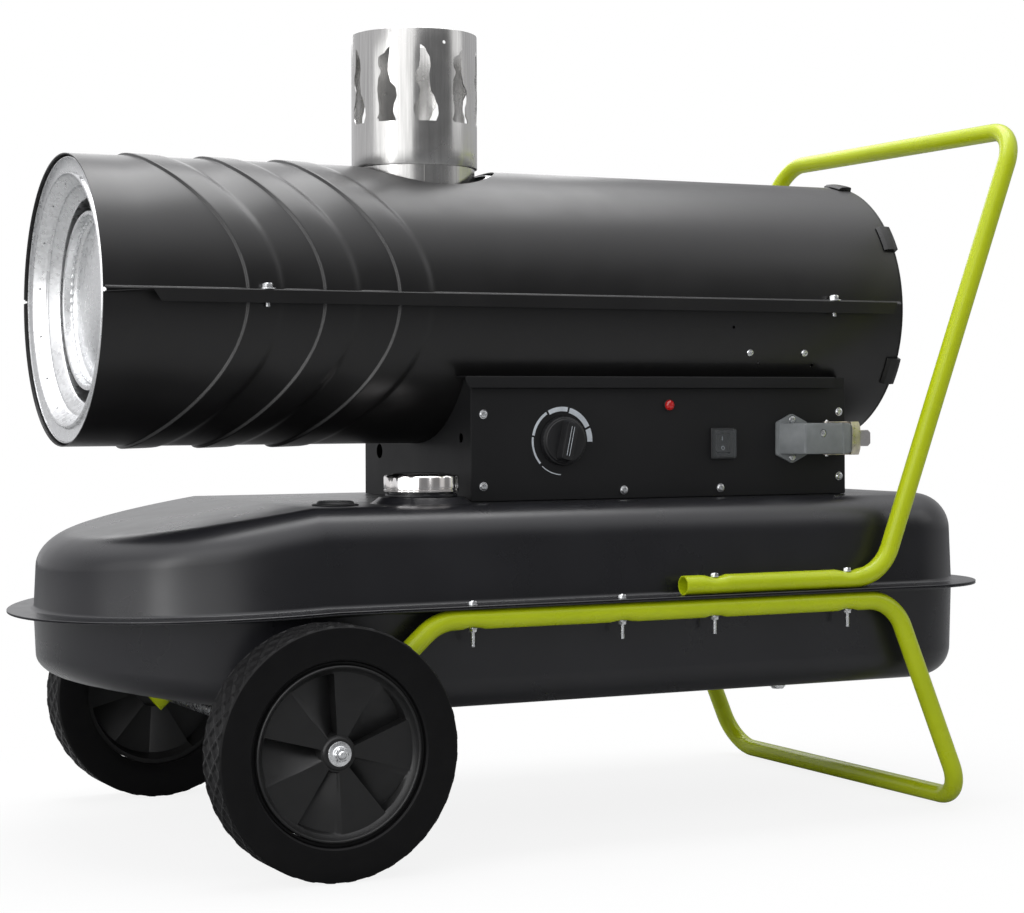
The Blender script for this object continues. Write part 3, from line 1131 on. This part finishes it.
def make_guard():
    rings = Shape()
    hub = [(guard_x(r), r) for r in (0, 8, 16, 24, 27)]
    hub += [(guard_x(28, 0.6), 28.6), (guard_x(28, 2.4), 28.6), (guard_x(27, 3), 27)]
    rings.turned(hub + [(guard_x(r, 3), r) for r in (20, 10, 0)], "X", BARREL, 96)
    for radius in GUARD_RINGS:
        section = [(guard_x(radius, 1.5) + 1.55 * sin(angle), radius + 2.6 * cos(angle))
                   for angle in (radians(45 * k + 22.5) for k in range(8))]
        rings.turned(section, "X", BARREL, 128)
    rim = ((566.4, 134), (566.4, 147), (566.4, 156.2), (566.9, 156.9), (568.8, 156.9), (569.3, 156.2),
           (569.8, 154.0), (569.6, 152), (guard_x(140, 2.9), 140), (guard_x(134.6, 2.9), 134.6),
           (guard_x(134, 2.4), 134), (guard_x(134, 0.4), 134))
    rings.turned(rim, "X", BARREL, 144).add("guard_rings", RIM_PLASTIC, "intake_guard", angle=34)
    spokes = Shape()
    for number in range(8):
        turn = radians(number * 45)
        outward = Vector((0, -cos(turn), sin(turn)))
        across = Vector((0, sin(turn), cos(turn)))
        sections = []
        for radius in (26 + 111 * k / 13 for k in range(14)):
            base = Vector((guard_x(radius), 0, BARREL_Z)) + outward * radius
            sections.append([base + Vector((depth, 0, 0)) + across * wide
                             for depth, wide in ((0.1, 2.0), (0.1, -2.0), (0.8, -2.6), (2.3, -2.6), (2.95, -1.9),
                                                 (2.95, 1.9), (2.3, 2.6), (0.8, 2.6))])
        spokes.loft(sections)
    spokes.add("guard_spokes", RIM_PLASTIC, "intake_guard", angle=34)
    clips = Shape()
    clip = rounded(((553, 157.3), (553, 158.6), (557, 161.0), (566, 161.8), (571.2, 161.2), (571.4, 150),
                    (566.8, 150), (566.8, 157.3)), 0.7, 2)
    for turn in CLIP_TURNS:
        clips.turned(clip, "X", BARREL, 8, turn - 6.0, 12)
    clips.add("guard_clips", RIM_PLASTIC, "intake_guard", angle=34, bevel=0.3)


def make_fan():
    fan = Shape().turned(rounded(((500, 6.3), (500, 29), (503, 30), (529, 30), (532, 27.5), (532, 6.3)),
                                 (0.5, 1, 1, 1.5, 1.5, 0.5)), "X", BARREL, 72)
    for number in range(5):
        sections = []
        for share in (step / 16 for step in range(17)):
            radius = 27 + 107 * share
            pitch = radians(48 - 28 * share)
            chord = 21 + 57 * share ** 0.9
            if share > 0.9:
                chord *= 1 - (share - 0.9) * 1.6
            sides = {1: [], -1: []}
            for along in (-0.5 + k / 8 for k in range(9)):
                camber = 0.05 * chord * (1 - (2 * along) ** 2)
                thick = 1.05 * sqrt(1 - (2 * along) ** 4) + 0.05
                for side, points in sides.items():
                    u, v = along * chord, camber + side * thick
                    turn = 2 * pi * number / 5 + (u * cos(pitch) - v * sin(pitch)) / radius
                    points.append(on_axis("X", BARREL, 516.0 + (u * sin(pitch) + v * cos(pitch)) * 0.56, radius, turn))
            sections.append(sides[1] + sides[-1][::-1])
        fan.loft(sections)
    fan.add("fan_wheel", RIM_PLASTIC, "fan", "fan_rotor", angle=34)


# ---- parts kept from the CAD model

KEPT = {
    "drum_support": ZINC_SHEET, "burner_plate": ZINC_SHEET, "diffuser_disc": ZINC_SHEET, "nozzle_holder": BRASS,
    "ignition_electrodes": CERAMIC, "fuel_pump": ALLOY, "motor": INNER_PAINT, "motor_shaft": BOLT_ZINC,
    "motor_cradle": ZINC_SHEET, "thermostat_body": DARK_PLASTIC, "control_board": BOARD,
    "ignition_transformer": DARK_PLASTIC, "fuel_filter": AMBER, "supply_hose": SEAL, "suction_pipe": BRASS,
    "gauge_float": DARK_PLASTIC,
}


def dress_kept():
    for name, material in KEPT.items():
        for slot in frame["nodes"][name].material_slots:
            slot.material = material


# ---- studio

def light_mix(tree, first, second, *kinds):
    """Shows the second shader to the named kinds of ray and the first to all others."""
    path = put_node(tree, "LightPath")
    factor = path.outputs[kinds[0]]
    for kind in kinds[1:]:
        factor = put_node(tree, "Math", {0: factor, 1: path.outputs[kind]}, operation="MAXIMUM").outputs[0]
    return put_node(tree, "MixShader", {0: factor, 1: first, 2: second}).outputs[0]


def make_world():
    world = bpy.data.worlds.new("studio")
    bpy.context.scene.world = world
    world.use_nodes = True
    tree = world.node_tree
    tree.nodes.clear()
    around = put_node(tree, "TexCoord").outputs["Generated"]
    total = None
    for way, low, high, dim_end, bright_end in (((-0.80, 0.55, 0.25), -0.6, 0.6, 0.20, 0.78),
                                                ((0.99, 0.05, 0.12), 0.6, 1.0, 0.0, 0.45),
                                                ((-0.04, -0.08, 0.996), 0.38, 1.0, 0.0, 1.7)):
        facing = put_node(tree, "VectorMath", {0: around}, operation="DOT_PRODUCT")
        facing.inputs[1].default_value = way
        level = put_node(tree, "MapRange", {"Value": facing.outputs["Value"]}, interpolation_type="SMOOTHSTEP",
                         From_Min=low, From_Max=high, To_Min=dim_end, To_Max=bright_end).outputs[0]
        total = put_node(tree, "Math", {0: total, 1: level}).outputs[0] if total else level
    dim = put_node(tree, "Background", Color=(0.55, 0.56, 0.58, 1), Strength=0.80)
    room = put_node(tree, "Background", {"Strength": total}, Color=(0.98, 0.98, 1.0, 1))
    white = put_node(tree, "Background", Color=(1, 1, 1, 1))
    seen = light_mix(tree, dim.outputs[0], room.outputs[0], "Is Glossy Ray")
    put_node(tree, "OutputWorld", {0: light_mix(tree, seen, white.outputs[0], "Is Camera Ray", "Is Transmission Ray")})


def make_floor():
    bm = bmesh.new()
    bmesh.ops.create_grid(bm, x_segments=2, y_segments=2, size=40)
    mesh = bpy.data.meshes.new("studio_floor")
    bm.to_mesh(mesh)
    bm.free()
    floor = placed("studio_floor", mesh)
    floor.location = (0, 0, -0.0002)
    paper = bpy.data.materials.new("studio_paper")
    mesh.materials.append(paper)
    paper.use_nodes = True
    tree = paper.node_tree
    tree.nodes.clear()
    diffuse = put_node(tree, "BsdfDiffuse", Color=(0.96, 0.96, 0.96, 1))
    glow = put_node(tree, "Emission", Color=(1, 1, 1, 1))
    dark = put_node(tree, "BsdfDiffuse", Color=(0.50, 0.50, 0.50, 1))
    stretch = put_node(tree, "Mapping", {0: put_node(tree, "TexCoord").outputs["Object"]}, Scale=(0.8, 1.25, 1))
    length = put_node(tree, "VectorMath", {0: stretch.outputs[0]}, operation="LENGTH")
    fade = put_node(tree, "MapRange", {"Value": length.outputs["Value"]}, interpolation_type="SMOOTHSTEP",
                    From_Min=0.42, From_Max=0.95, To_Min=0.86, To_Max=1.0)
    blend = put_node(tree, "MixShader", {0: fade.outputs[0], 1: diffuse.outputs[0], 2: glow.outputs[0]})
    put_node(tree, "OutputMaterial", {0: light_mix(tree, dark.outputs[0], blend.outputs[0], "Is Camera Ray")})


def softbox(name, place, aim, wide, tall, power):
    light = bpy.data.lights.new(name, "AREA")
    light.shape = "RECTANGLE"
    light.size = wide
    light.size_y = tall
    light.energy = power
    lamp = placed(name, light)
    lamp.location = place
    lamp.rotation_euler = (Vector(aim) - Vector(place)).to_track_quat("-Z", "Y").to_euler()


def make_studio():
    bpy.context.scene.view_settings.view_transform = "Standard"
    make_world()
    make_floor()
    softbox("overhead", (0.0, 0.28, 2.5), (0, 0, 0.4), 2.4, 1.5, 42)
    softbox("fill_left", (-2.2, -1.9, 1.4), (0, 0, 0.35), 2.3, 2.5, 22)
    softbox("fill_right", (2.6, -1.5, 1.9), (0, 0, 0.35), 1.4, 1.6, 6)
    softbox("strip_left", (-2.6, -1.15, 0.9), (-0.2, 0, 0.5), 0.42, 1.3, 7.5)
    softbox("outlet_side", (-2.6, -0.3, 0.8), (-0.3, 0, 0.45), 1.6, 1.4, 7)
    softbox("back", (0.6, 2.4, 1.9), (0, 0, 0.4), 1.8, 1.2, 12)


def make_camera():
    """The photograph's camera: its angles, focal length and image centre come from a fit to its edges."""
    yaw, pitch, roll = (radians(a) for a in (-26.3254, -0.1683, -0.2))
    ahead = Vector((-sin(yaw) * cos(pitch), cos(yaw) * cos(pitch), -sin(pitch)))
    right = ahead.cross(Vector((0, 0, 1))).normalized()
    up = right.cross(ahead)
    right, up = right * cos(roll) + up * sin(roll), up * cos(roll) - right * sin(roll)
    data = bpy.data.cameras.new("view")
    data.sensor_width = 36
    data.lens = 2321.73 * 36 / 1024
    data.shift_y = -(913 / 2 - 400) / 1024
    data.clip_start = 0.05
    camera = placed("view", data)
    spin = Matrix((right, up, -ahead)).transposed().to_4x4()
    camera.matrix_world = Matrix.Translation(((-1082.927 - FRAME_X) * MM, -2.439425, 0.469088)) @ spin
    bpy.context.scene.camera = camera


for make in (make_barrel, make_outlet, make_flue, make_tank, make_filler, make_gauge, make_foot_frame,
             make_handle_frame, make_frame_bolts, make_wheels, make_box, make_panel, make_knob, make_switch, make_lamp,
             make_connector, make_guard, make_fan, dress_kept, make_studio, make_camera):
    make()
